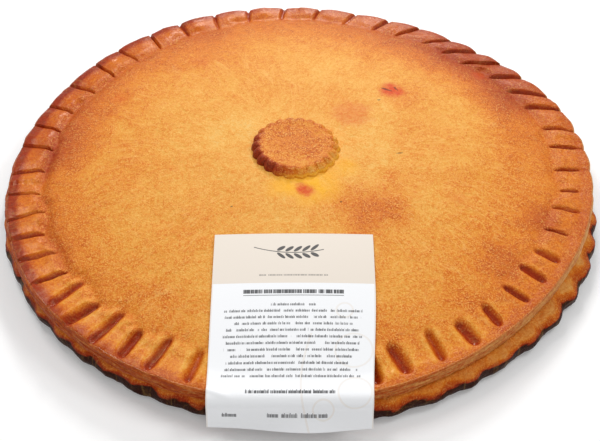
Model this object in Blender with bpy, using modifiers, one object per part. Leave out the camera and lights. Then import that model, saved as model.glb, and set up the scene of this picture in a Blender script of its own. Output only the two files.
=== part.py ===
"""A whole round empanada: a bottom dough, a top dough pressed down along the rim, a fluted dough
disc in the middle, and the paper label that lies on the crust and hangs over its front edge.

The origin is the middle of the foot, on the surface it stands on. +Z is up, and the label is at -Y.
"""

import math

import bmesh
import bpy

MM = 0.001

# The pie as a whole.
RIM_RADIUS = 160 * MM  # mean radius of the top dough's cut edge
RIM_HEIGHT = 19.5 * MM  # top of the rim between two press marks
DOME_RISE = 14 * MM  # how far the middle stands above the rim
DOME_RADIUS = 150 * MM  # where the dome runs out into the rim
DOME_POWER = 2.6  # 2 is a plain cap; more gives a flatter middle with a steeper shoulder
DOME_TOE = 1.25  # above 1, so that the dome runs into the rim without a kink
DOME_RINGS = (0, 42 * MM, 80 * MM, 112 * MM, 136 * MM, 142 * MM, 150 * MM, 156 * MM)
HIDDEN_RINGS = (0, 42 * MM, 80 * MM, 112 * MM, 142 * MM)  # where the doughs meet under the dome
GAP = 0.4 * MM  # kept between two pieces that touch
SHARP_ANGLE = 50  # degrees between two faces, past which the edge is shaded sharp

# The outline is a little out of round: (waves in a turn, height, angle of a crest in degrees).
TOP_WAVES = ((1, 0.6 * MM, 166), (2, 1.0 * MM, 112), (3, 2.2 * MM, 7), (4, 1.3 * MM, 55))
BASE_WAVES = ((1, 0.8 * MM, -140), (3, 0.4 * MM, 80))

# The press marks that seal the rim.
MARKS = 51
STEPS_PER_MARK = 4
MARK_DEPTH = 3.2 * MM
MARK_INNER = 137 * MM  # where a mark starts, from the middle
MARK_OUTER = 161 * MM
MARK_RAMP = 7 * MM  # how far a mark takes to reach its depth
MARK_RISE = 8 * MM  # and to rise again toward the edge
MARK_LOSS = 0.65  # the share of its depth that it loses there
EDGE_NOTCH = 1.3 * MM  # how far a mark draws the cut edge in, at the back
NOTCHED_WIDTH = 6 * MM
NOTCHED_TURN = -15  # degrees from +X to where the notches start to grow, anticlockwise
PITCH_WAVES = ((1, 5.5, 180), (2, 2.3, -19))  # degrees: made by hand, the marks are unevenly spaced

# The two doughs.
TOP_DOUGH = 7.2 * MM  # thickness of the top dough
SEAM_HEIGHT = RIM_HEIGHT - TOP_DOUGH
TOP_EDGE = ((-0.8 * MM, -0.9 * MM), (0.4 * MM, -3.2 * MM), (-0.6 * MM, -TOP_DOUGH))  # out, up
WAVY_FROM = 100 * MM  # the outline's waves die out inward, to this radius
BASE_RADIUS = 161.6 * MM
BASE_INNER = 151 * MM  # how far the bottom dough fills up the dome
BASE_EDGE = (  # out from the radius, height
    (0.3 * MM, 9.2 * MM),
    (0.8 * MM, 5.2 * MM),
    (-0.6 * MM, 1.4 * MM),
    (-3.6 * MM, 0.0),
)
BASE_SHOULDER = 2.0 * MM  # the lip's flat top ends this far inside its edge
LIP_BEND = 0.3 * MM  # and this far under the seam
LOBED_FROM = 145 * MM  # the edge's waves and droop start here
LOBE = 0.7 * MM  # waves of the bottom dough's edge, one to a mark
LIP_DROP = 1.2 * MM  # how far the bottom dough's lip sags open at the front right
LIP_OUT = 2.8 * MM  # how far it stands out there
LIP_ANGLE = -25.0
LIP_SPAN = 38.0

# The fluted disc.
DISC_RADIUS = 22.3 * MM
DISC_THICKNESS = 3.6 * MM
FLUTES = 22
FLUTE_DEPTH = 0.8 * MM
FLUTED_SHARE = 0.8  # of the radius, outside which the flutes show
DISC_CROWN = 0.5 * MM
DISC_ROUND = 1.2 * MM
DISC_BULGE = (0.4 * MM, 1.4 * MM)  # how far it stands out, and at what height
DISC_UNDERCUT = 0.6 * MM
DISC_TILT = 0.5 * MM
DISC_TILT_ANGLE = 150.0  # degrees: the side that stands higher
DISC_CENTRE = (-2 * MM, 1 * MM)

# The paper label.
LABEL_WIDTH = 80 * MM
LABEL_LEFT = -42.5 * MM
LABEL_TOP = -65 * MM  # Y of its upper edge
LABEL_FOLD = -158.0 * MM  # Y where it starts to bend down over the rim
FOLD_RADIUS = 5.4 * MM
LABEL_HANG = 9.5 * MM
LABEL_FLARE = 3.4 * MM  # how far the lower edge stands out from the fold
PAPER = 0.4 * MM
LABEL_COLUMNS = 8
LABEL_ROWS = 20
LABEL_LIFT = 0.9 * MM  # from the crust to the paper's under side
LABEL_DRAPE = 0.85  # 1 follows the dome to both sides, 0 only along the label's middle
BILLOW_MIDDLE = -2 * MM  # the hanging part stands out most here
BILLOW_WIDTH = 100 * MM

COLOURS = {
    "crust_base": (0.50, 0.20, 0.055),
    "crust_lid": (0.80, 0.42, 0.10),
    "centre_disc": (0.66, 0.29, 0.07),
    "label": (0.86, 0.86, 0.83),
}


def clear_scene():
    for item in list(bpy.data.objects):
        bpy.data.objects.remove(item, do_unlink=True)


def smooth(low, high, value):
    """0 below low, 1 above high, and an S-curve between."""
    t = min(max((value - low) / (high - low), 0.0), 1.0)
    return t * t * (3 - 2 * t)


def waves(angle, terms):
    return sum(high * math.cos(count * angle - math.radians(crest)) for count, high, crest in terms)


def dome(radius):
    """Height of the crust above the foot, without its marks."""
    share = 1 - min(radius / DOME_RADIUS, 1.0) ** DOME_POWER
    return RIM_HEIGHT + DOME_RISE * share**DOME_TOE


def hand_pitch(turn):
    """The angle a turn of evenly spaced steps is moved to, for marks made by hand."""
    return turn + math.radians(waves(turn, PITCH_WAVES))


def pressed(turn):
    """1 in the middle of a mark, 0 between two marks."""
    return math.sin(turn * MARKS / 2) ** 4


def drooping(angle):
    """1 where the bottom dough's lip droops most, 0 away from there."""
    off = math.degrees(math.remainder(angle - math.radians(LIP_ANGLE), math.tau))
    return 1 - smooth(0.0, LIP_SPAN, abs(off))


def collection_of(name):
    made = bpy.data.collections.new(name)
    bpy.context.scene.collection.children.link(made)
    return made


def material_of(name, roughness):
    made = bpy.data.materials.new(name)
    made.use_nodes = True
    shader = made.node_tree.nodes["Principled BSDF"]
    shader.inputs["Base Color"].default_value = (*COLOURS[name], 1.0)
    shader.inputs["Roughness"].default_value = roughness
    shader.inputs["Metallic"].default_value = 0.0
    return made


def finished(name, mesh, roughness, parts):
    """The named object of a sub-part, shaded smooth, with its own material."""
    mesh.name = name
    mesh.materials.clear()
    mesh.materials.append(material_of(name, roughness))
    mesh.shade_smooth()
    mesh.set_sharp_from_angle(angle=math.radians(SHARP_ANGLE))
    made = bpy.data.objects.new(name, mesh)
    parts.objects.link(made)
    return made


def evaluated_mesh(source):
    """The object's mesh with its modifiers, and the object removed."""
    graph = bpy.context.evaluated_depsgraph_get()
    mesh = bpy.data.meshes.new_from_object(source.evaluated_get(graph))
    bpy.data.objects.remove(source, do_unlink=True)
    return mesh


def turned(profile, steps, parts):
    """A profile of (radius, height) turned once round Z, as a mesh."""
    lines = bpy.data.meshes.new("profile")
    points = [(radius, 0.0, height) for radius, height in profile]
    lines.from_pydata(points, [(i, i + 1) for i in range(len(points) - 1)], [])
    source = bpy.data.objects.new("profile", lines)
    parts.objects.link(source)
    screw = source.modifiers.new("turn", "SCREW")
    screw.steps = steps
    screw.render_steps = steps
    screw.use_merge_vertices = True
    screw.merge_threshold = 0.00001
    return evaluated_mesh(source)


def shaped(mesh, move):
    """Moves every point of a turned mesh: move(radius, turn, height) gives the new three."""
    for point in mesh.vertices:
        radius = math.hypot(point.co.x, point.co.y)
        turn = math.atan2(point.co.y, point.co.x)
        radius, angle, height = move(radius, turn, point.co.z)
        point.co = (radius * math.cos(angle), radius * math.sin(angle), height)
    return mesh


def top_dough(parts):
    """The domed sheet of dough, pressed down along its rim by hand-made marks."""
    upper = [(radius, dome(radius)) for radius in DOME_RINGS]
    edge = [(RIM_RADIUS + out, RIM_HEIGHT + up) for out, up in TOP_EDGE]
    under = [(radius, dome(radius) - TOP_DOUGH) for radius in reversed(HIDDEN_RINGS)]

    def move(radius, turn, height):
        angle = hand_pitch(turn)
        outer = smooth(WAVY_FROM, RIM_RADIUS, radius)
        if height > dome(radius) - TOP_DOUGH / 2:
            reach = smooth(MARK_INNER, MARK_INNER + MARK_RAMP, radius)
            reach *= 1 - MARK_LOSS * smooth(MARK_OUTER - MARK_RISE, MARK_OUTER, radius)
            height -= MARK_DEPTH * reach * pressed(turn)
        wider = radius + outer * waves(angle, TOP_WAVES)
        height += dome(wider) - dome(radius)
        if radius > RIM_RADIUS - NOTCHED_WIDTH:
            behind = smooth(-0.3, 0.5, math.sin(angle - math.radians(NOTCHED_TURN)))
            wider -= EDGE_NOTCH * behind * pressed(turn)
        return wider, angle, height

    mesh = shaped(turned(upper + edge + under, MARKS * STEPS_PER_MARK, parts), move)
    return finished("crust_lid", mesh, 0.42, parts)


def bottom_dough(parts):
    """The bottom dough with all that the top dough hides: solid, with a rounded, lobed edge."""
    rings = (*HIDDEN_RINGS, BASE_INNER)
    upper = [(radius, dome(radius) - TOP_DOUGH - GAP) for radius in rings]
    shoulder = (BASE_RADIUS - BASE_SHOULDER, SEAM_HEIGHT - GAP - LIP_BEND)
    edge = [(BASE_RADIUS + out, height) for out, height in BASE_EDGE]
    foot = (0.0, 0.0)

    def move(radius, turn, height):
        angle = hand_pitch(turn)
        outer = smooth(LOBED_FROM, BASE_RADIUS, radius)
        inner = smooth(WAVY_FROM, RIM_RADIUS, radius) * (1 - outer)
        wider = radius + inner * waves(angle, TOP_WAVES)
        wider += outer * (waves(angle, BASE_WAVES) - LOBE * (2 * pressed(turn) - 1))
        height += dome(wider) - dome(radius)
        wider += LIP_OUT * drooping(angle) * outer
        if height > SEAM_HEIGHT / 2:
            height -= LIP_DROP * drooping(angle) * outer
        return wider, angle, height

    profile = [*upper, shoulder, *edge, foot]
    mesh = shaped(turned(profile, MARKS * STEPS_PER_MARK // 2, parts), move)
    return finished("crust_base", mesh, 0.6, parts)


def fluted_disc(parts):
    """The round of dough cut with a fluted cutter, lying in the middle of the dome."""
    foot = dome(0.0) + GAP
    top = foot + DISC_THICKNESS
    bulge_out, bulge_height = DISC_BULGE
    profile = [
        (0.0, top + DISC_CROWN),
        (DISC_RADIUS * 0.5, top + 0.6 * DISC_CROWN),
        (DISC_RADIUS * 0.86, top),
        (DISC_RADIUS, top - DISC_ROUND),
        (DISC_RADIUS + bulge_out, foot + bulge_height),
        (DISC_RADIUS - DISC_UNDERCUT, foot),
        (0.0, foot),
    ]

    def move(radius, turn, height):
        if radius > DISC_RADIUS * FLUTED_SHARE:
            radius += FLUTE_DEPTH * math.cos(turn * FLUTES)
        if height > foot + DISC_THICKNESS / 2:
            height += DISC_TILT * radius / DISC_RADIUS * math.cos(turn - math.radians(DISC_TILT_ANGLE))
        return radius, turn, height

    mesh = shaped(turned(profile, FLUTES * 4, parts), move)
    made = finished("centre_disc", mesh, 0.5, parts)
    made.location = (DISC_CENTRE[0], DISC_CENTRE[1], 0.0)
    return made


def label_point(along, x):
    """Y and Z of the label's under side, this far along it from its upper edge."""
    lying = LABEL_TOP - LABEL_FOLD
    bend = FOLD_RADIUS * math.pi / 2
    if along <= lying:
        y = LABEL_TOP - along
        crown = dome(abs(y))
        drape = dome(math.hypot(x, y))
        return y, (1 - LABEL_DRAPE) * crown + LABEL_DRAPE * drape + LABEL_LIFT
    top = RIM_HEIGHT + LABEL_LIFT
    if along <= lying + bend:
        swept = (along - lying) / FOLD_RADIUS
        y = LABEL_FOLD - FOLD_RADIUS * math.sin(swept)
        return y, top - FOLD_RADIUS * (1 - math.cos(swept))
    hung = (along - lying - bend) / LABEL_HANG
    billow = 0.5 + 0.5 * math.cos((x - BILLOW_MIDDLE) / BILLOW_WIDTH * math.tau)
    y = LABEL_FOLD - FOLD_RADIUS - LABEL_FLARE * hung**1.5 * billow
    return y, top - FOLD_RADIUS - LABEL_HANG * hung


def paper_label(parts):
    """A sheet of paper laid over the crust, bent over the rim and hanging to just above the foot."""
    length = LABEL_TOP - LABEL_FOLD + FOLD_RADIUS * math.pi / 2 + LABEL_HANG
    form = bmesh.new()
    bmesh.ops.create_grid(form, x_segments=LABEL_COLUMNS, y_segments=LABEL_ROWS, size=0.5)
    for point in form.verts:
        x = LABEL_LEFT + LABEL_WIDTH * (point.co.x + 0.5)
        y, z = label_point(length * (0.5 - point.co.y), x)
        point.co = (x, y, z)
    sheet = bpy.data.meshes.new("sheet")
    form.to_mesh(sheet)
    form.free()
    source = bpy.data.objects.new("sheet", sheet)
    parts.objects.link(source)
    thick = source.modifiers.new("paper", "SOLIDIFY")
    thick.thickness = PAPER
    thick.offset = 1.0
    return finished("label", evaluated_mesh(source), 0.7, parts)


def main():
    clear_scene()
    parts = collection_of("empanada")
    bottom_dough(parts)
    top_dough(parts)
    fluted_disc(parts)
    paper_label(parts)


main()
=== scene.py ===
"""A whole round empanada: golden top dough pressed down along its rim, the bottom dough's lip under
it, a fluted disc of dough in the middle and a paper label bent over the front edge.

Every size is in metres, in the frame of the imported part: the middle of the foot is the origin, +Z is
up and the label is at -Y.
"""

import math
import random

import bpy
import numpy as np
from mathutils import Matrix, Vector, noise


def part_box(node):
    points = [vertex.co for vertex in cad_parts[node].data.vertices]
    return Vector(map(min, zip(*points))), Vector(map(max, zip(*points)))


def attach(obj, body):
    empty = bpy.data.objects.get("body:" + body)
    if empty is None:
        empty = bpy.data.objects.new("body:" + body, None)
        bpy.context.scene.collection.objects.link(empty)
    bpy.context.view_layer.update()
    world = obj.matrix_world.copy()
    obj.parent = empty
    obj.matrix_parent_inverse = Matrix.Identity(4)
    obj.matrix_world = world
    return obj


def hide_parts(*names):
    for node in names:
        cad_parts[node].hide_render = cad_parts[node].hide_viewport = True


bl_info = {
    "name": "Round Empanada",
    "version": (1, 0, 0),
    "blender": (4, 5, 0),
    "location": "View3D > Sidebar > Empanada",
    "description": "Models a baked round empanada with a pressed rim, a fluted disc and a label",
    "category": "Mesh",
}

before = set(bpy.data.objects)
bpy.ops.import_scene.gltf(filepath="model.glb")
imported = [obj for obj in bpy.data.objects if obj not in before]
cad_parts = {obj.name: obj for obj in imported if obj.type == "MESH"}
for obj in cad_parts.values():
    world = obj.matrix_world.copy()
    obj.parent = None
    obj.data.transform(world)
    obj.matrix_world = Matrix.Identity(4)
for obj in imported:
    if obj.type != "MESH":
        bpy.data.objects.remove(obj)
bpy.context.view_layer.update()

MM = 0.001
LID_LOW, LID_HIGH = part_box("crust_lid")
BASE_LOW, BASE_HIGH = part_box("crust_base")
DISC_LOW, DISC_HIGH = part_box("centre_disc")
LABEL_LOW, LABEL_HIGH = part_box("label")

# The outline is a little out of round: (waves in a turn, height, angle of a crest in degrees).
TOP_WAVES = ((1, 0.6 * MM, 166), (2, 1.0 * MM, 112), (3, 2.2 * MM, 7), (4, 1.3 * MM, 55))
BASE_WAVES = ((1, 0.8 * MM, -140), (3, 0.4 * MM, 80))
LIP_ANGLE, LIP_SPAN = -25, 40  # degrees; where the bottom dough's lip droops, and how far from there
LIP_DROP, LIP_OUT = 0.8 * MM, 2.8 * MM
PITCH_WAVES = ((1, 5.5, 180), (2, 2.3, -19))  # degrees that hand-made marks stray from even spacing
OUTLINE_SPREAD = 1.3 * MM  # by how much the waves widen the lid's box
CROWDING = 1.55  # how strongly the mesh gathers at the marks
DOME_POWER = 2.6
DOME_TOE = 1.25
DOME_SHARE = 150 / 160  # of the rim's radius, where the dome runs out

TOP_DOUGH = 7.2 * MM  # thickness of the top dough at its edge
DOUGH_GAP = 0.4 * MM  # between the two doughs
LEAN_FROM, LEAN_FULL = 112 * MM, 136 * MM  # the marks' lean starts and is complete at these radii
FLAKY_ANGLE = -150  # degrees; the side where the cut edge is raggedest
STEPS_PER_MARK = 16
STEPS_PER_FLUTE = 14

# The label: how it lies over the rim, and the length that its print is laid out on.
FOLD_RADIUS = 5.4 * MM
FOLD_INSIDE = 2.0 * MM  # the fold starts this far inside the rim
LABEL_LIFT = 1.0 * MM
LABEL_HANG = 9.5 * MM
LABEL_TAPER = 3.2 * MM  # how much narrower the hanging end looks where it curls
PRINT_LENGTH = 111 * MM

# How the marks change round the rim. Angle; a mark's half width, depth, inner end and outer end (mm);
# how open its outer end is; how high the dough stands between two marks (mm), how much higher on one
# side (mm); how deep a mark notches the edge (mm); the valley between dome and rim (mm); how dark.
MARK_ZONES = (
    (-168, 0.7, 1.1, 141, 156, 0.4, 1.5, 0.35, 0.15, 1.9, 0.4),
    (-150, 1.1, 1.5, 140, 157, 0.2, 1.4, 0.4, 0.1, 1.5, 0.8),
    (-132, 2.1, 2.3, 138, 158, 0.1, 1.0, 0.3, 0.1, 0.8, 1.2),
    (-112, 2.6, 2.8, 138, 158, 0.0, 0.6, 0.0, 0.0, 0.3, 1.3),
    (-68, 2.8, 3.0, 138, 156, 0.0, 0.1, 0.0, 0.0, 0.0, 1.35),
    (-42, 2.2, 2.6, 139, 155, 0.0, 0.2, 0.0, 0.0, 0.1, 1.25),
    (-22, 1.3, 1.9, 140, 152, 0.0, 1.0, 0.0, 0.1, 0.7, 1.1),
    (5, 1.0, 1.5, 141, 153, 0.1, 1.6, 0.1, 0.5, 1.0, 0.9),
    (25, 1.2, 1.6, 141, 157, 0.6, 1.5, -0.8, 1.3, 0.9, 0.9),
    (45, 1.0, 1.3, 142, 158, 0.8, 1.3, -0.9, 1.4, 0.7, 0.6),
    (70, 0.9, 1.1, 145, 160, 0.8, 0.9, -0.5, 0.9, 0.6, 0.4),
    (100, 0.9, 1.2, 146, 160, 0.8, 1.0, 0.4, 0.8, 0.7, 0.4),
    (140, 0.7, 1.2, 142, 158, 0.5, 1.4, 0.5, 0.4, 1.7, 0.4),
)
# How far the marks lean from the radius, as round the rim for each step outward.
LEAN_BY_ANGLE = ((-30, 0.0), (-12, 0.12), (0, 0.0), (10, -0.35), (20, -0.72), (40, -0.95), (60, -0.75),
                 (80, -0.35), (100, 0.0), (180, 0.0))

# How far the crust is baked, from 0, pale, to 1, dark: radius (mm) and bake on the top.
BAKE_BY_RADIUS = ((0, 0.35), (40, 0.39), (75, 0.435), (105, 0.49), (122, 0.555), (140, 0.60), (150, 0.67),
                  (160, 0.69))
# The same round the rim: angle, and what is added there.
BAKE_BY_ANGLE = ((-165, 0.03), (-140, 0.0), (-110, -0.06), (-60, -0.02), (-30, 0.03), (0, 0.05), (30, 0.14),
                 (60, 0.13), (90, 0.07), (120, 0.09), (150, 0.09), (180, 0.08))
# Patches on the top: x, y, radius (mm), and what is added to the bake.
TOASTED = (
    (38, -46, 27, 0.22), (-20, -30, 20, 0.05), (50, -19, 7, 0.14), (85, -16, 14, 0.06),
    (128, -43, 16, 0.12), (103, -76, 22, 0.11), (118, 62, 26, 0.10), (98, 98, 30, 0.08),
    (60, 52, 17, 0.13), (-128, 22, 32, 0.09), (-118, -58, 30, 0.05), (-52, 104, 26, 0.05),
    (22, 82, 24, -0.06), (-42, 24, 30, -0.05), (-30, -92, 26, -0.03), (96, 30, 24, -0.05),
    (-66, 66, 30, 0.03), (-92, -12, 22, 0.04), (70, 120, 24, 0.04), (-20, 132, 24, -0.03),
)
# Where filling has soaked through the top: x, y, radius (mm), strength.
LEAKS = ((54, 58, 9, 1.0), (30, 33, 14, 0.42), (3, -32, 6, 0.95), (-60, 92, 8, 0.15), (84, -34, 6, 0.2),
         (108, 84, 5, 0.35), (-104, 58, 6, 0.25))
# Cracks and scorched specks: x, y (mm), angle, half length, half width (mm).
CRACKS = (
    (51, 58.5, -25, 4.2, 1.1), (56.5, 60, -60, 2.6, 0.8), (46, 47, 20, 1.3, 0.8),
    (55, -1, 12, 2.4, 0.5), (22, -41, 60, 1.0, 0.7), (-35, -44, 30, 1.0, 0.6),
)
# Where oil has run out under the disc.
OILY = ((8, -27, 17, 1.0), (-9, -28, 12, 0.7), (26, -14, 9, 0.6))


# ---------------------------------------------------------------- sizes and colours a user changes


def length_property(name, description, default):
    return bpy.props.FloatProperty(name=name, description=description, default=default, unit="LENGTH")


class EmpanadaSizes(bpy.types.PropertyGroup):
    """Sizes of the empanada, in metres"""

    rim_radius: length_property(
        "Rim radius",
        "Mean radius of the top dough's cut edge",
        (LID_HIGH.x - LID_LOW.x + LID_HIGH.y - LID_LOW.y) / 4 - OUTLINE_SPREAD,
    )
    dome_top: length_property("Dome height", "Height of the crust's middle above the foot", LID_HIGH.z)
    rim_height: length_property(
        "Rim height",
        "Height of the rim's top above the foot",
        LID_LOW.z + TOP_DOUGH,
    )
    seam_height: length_property("Seam height", "Height of the seam between the two doughs", LID_LOW.z)
    marks: bpy.props.IntProperty(
        name="Press marks",
        description="Number of marks round the rim",
        default=51,
        min=8,
    )
    flutes: bpy.props.IntProperty(
        name="Flutes",
        description="Number of flutes round the disc of dough",
        default=22,
        min=6,
    )
    flute_depth: length_property("Flute depth", "Half the depth of a flute", 0.75 * MM)
    paper: length_property("Paper thickness", "Thickness of the label", 0.3 * MM)


def colour_property(name, description, default):
    return bpy.props.FloatVectorProperty(
        name=name, description=description, default=default, subtype="COLOR", size=3, min=0.0, max=1.0
    )


class EmpanadaColours(bpy.types.PropertyGroup):
    """Colours of the baked dough and of the label, linear"""

    pale: colour_property("Pale dough", "Dough that hardly took colour", (0.86, 0.54, 0.18))
    light: colour_property("Light gold", "Lightly baked crust", (0.87, 0.445, 0.082))
    gold: colour_property("Gold", "Golden crust", (0.81, 0.305, 0.031))
    amber: colour_property("Amber", "Crust near the rim", (0.72, 0.182, 0.009))
    brown: colour_property("Brown", "Well baked crust", (0.53, 0.086, 0.004))
    russet: colour_property("Russet", "Glazed crust in the marks", (0.36, 0.028, 0.003))
    dark: colour_property("Dark", "The darkest crust", (0.030, 0.004, 0.002))
    leak: colour_property("Leak", "Crust soaked with tomato and pepper", (0.70, 0.062, 0.006))
    oil: colour_property("Oil", "Crust soaked with oil", (0.96, 0.46, 0.014))
    # The fleck colour paints the highlight glint specks on the grain, as well as the pale wrinkles in the
    # skin.
    fleck: colour_property("Fleck", "Dry specks and wrinkles in the skin", (0.97, 0.57, 0.15))
    crumb: colour_property("Crumb", "The top dough's cut edge", (0.76, 0.38, 0.10))
    paper: colour_property("Paper", "The label's sheet", (0.97, 0.98, 1.00))
    band: colour_property("Band", "The label's upper band", (0.86, 0.77, 0.67))
    ink: colour_property("Ink", "The label's print", (0.020, 0.020, 0.024))


# ---------------------------------------------------------------- small helpers


def deselect_all():
    """Leaves edit mode and deselects every object."""
    if bpy.context.object and bpy.context.object.mode != "OBJECT":
        bpy.ops.object.mode_set(mode="OBJECT")
    bpy.ops.object.select_all(action="DESELECT")


def smooth(low, high, value):
    """0 below low, 1 above high, and an S-curve between, for arrays."""
    t = np.clip((value - low) / (high - low), 0.0, 1.0)
    return t * t * (3 - 2 * t)


def waves(angle, terms):
    """The sum of waves round the pie, each (waves in a turn, height, angle of a crest)."""
    return sum(high * np.cos(count * angle - math.radians(crest)) for count, high, crest in terms)


def by_angle(angle, table, column):
    """A column of a table whose rows start with an angle, between its rows."""
    rows = np.array(table, float)
    return np.interp(np.degrees(angle), rows[:, 0], rows[:, column], period=360)


def hand_pitch(turn):
    """The angle that an evenly spaced turn is moved to, for marks made by hand."""
    return turn + np.radians(waves(turn, PITCH_WAVES))


def dome(radius, sizes):
    """Height of the top crust above the foot, without its marks."""
    share = 1 - np.minimum(radius / (sizes.rim_radius * DOME_SHARE), 1.0) ** DOME_POWER
    return sizes.rim_height + (sizes.dome_top - sizes.rim_height) * share**DOME_TOE


def roughness_at(points, scale, octaves=3):
    """Smooth noise from -1 to 1 at each point; scale is the size of its lumps."""
    return np.array([noise.fractal(Vector(p) / scale, 1.0, 2.0, octaves) for p in points])


def points_of(piece):
    flat = np.empty(len(piece.data.vertices) * 3)
    piece.data.vertices.foreach_get("co", flat)
    return flat.reshape(-1, 3)


def set_points(piece, points):
    piece.data.vertices.foreach_set("co", np.ascontiguousarray(points, np.float32).ravel())
    piece.data.update()


def set_polar(piece, points, reach):
    """A seamless place for patterns that run out from the middle: round it, and along the radius."""
    radius = np.hypot(points[:, 0], points[:, 1])
    angle = np.arctan2(points[:, 1], points[:, 0])
    polar = np.stack([np.cos(angle) * reach, np.sin(angle) * reach, radius * 0.22], 1)
    layer = piece.data.attributes.new(name="polar", type="FLOAT_VECTOR", domain="POINT")
    layer.data.foreach_set("vector", np.ascontiguousarray(polar, np.float32).ravel())


def set_attribute(piece, name, values):
    layer = piece.data.attributes.new(name=name, type="FLOAT", domain="POINT")
    layer.data.foreach_set("value", np.ascontiguousarray(values, np.float32))


def spun(name, profile, steps):
    """A profile of (radius, height), drawn point by point and spun once round Z."""
    deselect_all()
    first = profile[0]
    bpy.ops.mesh.primitive_plane_add(size=MM, location=(first[0], 0.0, first[1]))
    piece = bpy.context.object
    piece.name = name
    piece.data.name = name
    bpy.ops.object.transform_apply(location=True, rotation=True, scale=True)
    bpy.ops.object.mode_set(mode="EDIT")
    bpy.ops.mesh.select_mode(type="VERT")
    bpy.ops.mesh.merge(type="CENTER")
    for start, end in zip(profile, profile[1:]):
        step = (end[0] - start[0], 0.0, end[1] - start[1])
        bpy.ops.mesh.extrude_region_move(TRANSFORM_OT_translate={"value": step})
    bpy.ops.mesh.select_all(action="SELECT")
    bpy.ops.mesh.spin(steps=steps, angle=math.tau, center=(0, 0, 0), axis=(0, 0, 1))
    bpy.ops.mesh.select_all(action="SELECT")
    bpy.ops.mesh.remove_doubles(threshold=0.002 * MM)
    bpy.ops.mesh.normals_make_consistent(inside=False)
    bpy.ops.object.mode_set(mode="OBJECT")
    return piece


def uneven(piece, name, lump, height):
    """Displaces the piece with clouds this large and this high, and applies it."""
    texture = bpy.data.textures.new(name, "CLOUDS")
    texture.noise_scale = lump
    texture.noise_depth = 2
    bpy.context.view_layer.objects.active = piece
    modifier = piece.modifiers.new(name, "DISPLACE")
    modifier.texture = texture
    modifier.texture_coords = "LOCAL"
    modifier.strength = height
    modifier.mid_level = 0.5
    bpy.ops.object.modifier_apply(modifier=name)


def shade_smooth(piece, degrees):
    deselect_all()
    piece.select_set(True)
    bpy.context.view_layer.objects.active = piece
    bpy.ops.object.shade_smooth_by_angle(angle=math.radians(degrees))


def settle(piece, node, material):
    """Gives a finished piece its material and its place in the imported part."""
    piece.data.materials.clear()
    piece.data.materials.append(material)
    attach(piece, "root")
    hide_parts(node)


# ---------------------------------------------------------------- materials


class Nodes:
    """Adds a material's nodes one after another, each call giving the socket that it makes."""

    def __init__(self, name):
        self.material = bpy.data.materials.new(name)
        self.material.use_nodes = True
        self.tree = self.material.node_tree
        self.shader = self.tree.nodes["Principled BSDF"]
        self.place = Vector((-1800.0, 600.0))

    def add(self, kind, **settings):
        node = self.tree.nodes.new(kind)
        for key, value in settings.items():
            setattr(node, key, value)
        node.location = self.place
        self.place.y -= 180
        if self.place.y < -900:
            self.place = Vector((self.place.x + 200, 600.0))
        return node

    def feed(self, socket, value):
        if isinstance(value, bpy.types.NodeSocket):
            self.tree.links.new(value, socket)
        elif socket.type == "RGBA":
            socket.default_value = (*value[:3], 1.0)
        else:
            socket.default_value = value

    def math(self, operation, first, second=0.0, third=0.0, clamp=False):
        node = self.add("ShaderNodeMath", operation=operation, use_clamp=clamp)
        for socket, value in zip(node.inputs, (first, second, third)):
            self.feed(socket, value)
        return node.outputs[0]

    def total(self, *terms):
        """The sum of sockets and numbers."""
        result = terms[0]
        for term in terms[1:]:
            result = self.math("ADD", result, term)
        return result

    def spread(self, value, low, high, start=0.0, end=1.0):
        """The value taken from low..high to start..end, clamped, with an S-curve."""
        node = self.add("ShaderNodeMapRange", interpolation_type="SMOOTHSTEP")
        for socket, number in zip(node.inputs, (value, low, high, start, end)):
            self.feed(socket, number)
        return node.outputs[0]

    def scaled(self, vector, scale):
        node = self.add("ShaderNodeMapping")
        self.feed(node.inputs["Vector"], vector)
        self.feed(node.inputs["Scale"], scale)
        return node.outputs[0]

    def noise(self, vector, size, detail=3.0, rough=0.55, distortion=0.0, kind="FBM"):
        """Noise whose lumps are this large, from about 0 to 1."""
        node = self.add("ShaderNodeTexNoise", noise_type=kind)
        self.feed(node.inputs["Vector"], vector)
        node.inputs["Scale"].default_value = 1 / size
        node.inputs["Detail"].default_value = detail
        node.inputs["Roughness"].default_value = rough
        node.inputs["Distortion"].default_value = distortion
        return node.outputs["Fac"]

    def mix(self, share, first, second, blend="MIX"):
        node = self.add("ShaderNodeMix", data_type="RGBA", blend_type=blend)
        self.feed(node.inputs["Factor"], share)
        self.feed(node.inputs[6], first)
        self.feed(node.inputs[7], second)
        return node.outputs[2]

    def ramp(self, value, stops):
        node = self.add("ShaderNodeValToRGB")
        elements = node.color_ramp.elements
        while len(elements) < len(stops):
            elements.new(1.0)
        for element, (place, colour) in zip(elements, stops):
            element.position = place
            element.color = (*colour[:3], 1.0)
        self.feed(node.inputs[0], value)
        return node.outputs[0]

    def attribute(self, name):
        return self.add("ShaderNodeAttribute", attribute_name=name).outputs["Fac"]

    def bump(self, height, distance, strength=1.0, normal=None):
        node = self.add("ShaderNodeBump")
        node.inputs["Strength"].default_value = strength
        node.inputs["Distance"].default_value = distance
        self.feed(node.inputs["Height"], height)
        if normal is not None:
            self.feed(node.inputs["Normal"], normal)
        return node.outputs[0]

    def finish(self, **sockets):
        for name, value in sockets.items():
            self.feed(self.shader.inputs[name.replace("_", " ")], value)
        return self.material


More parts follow.
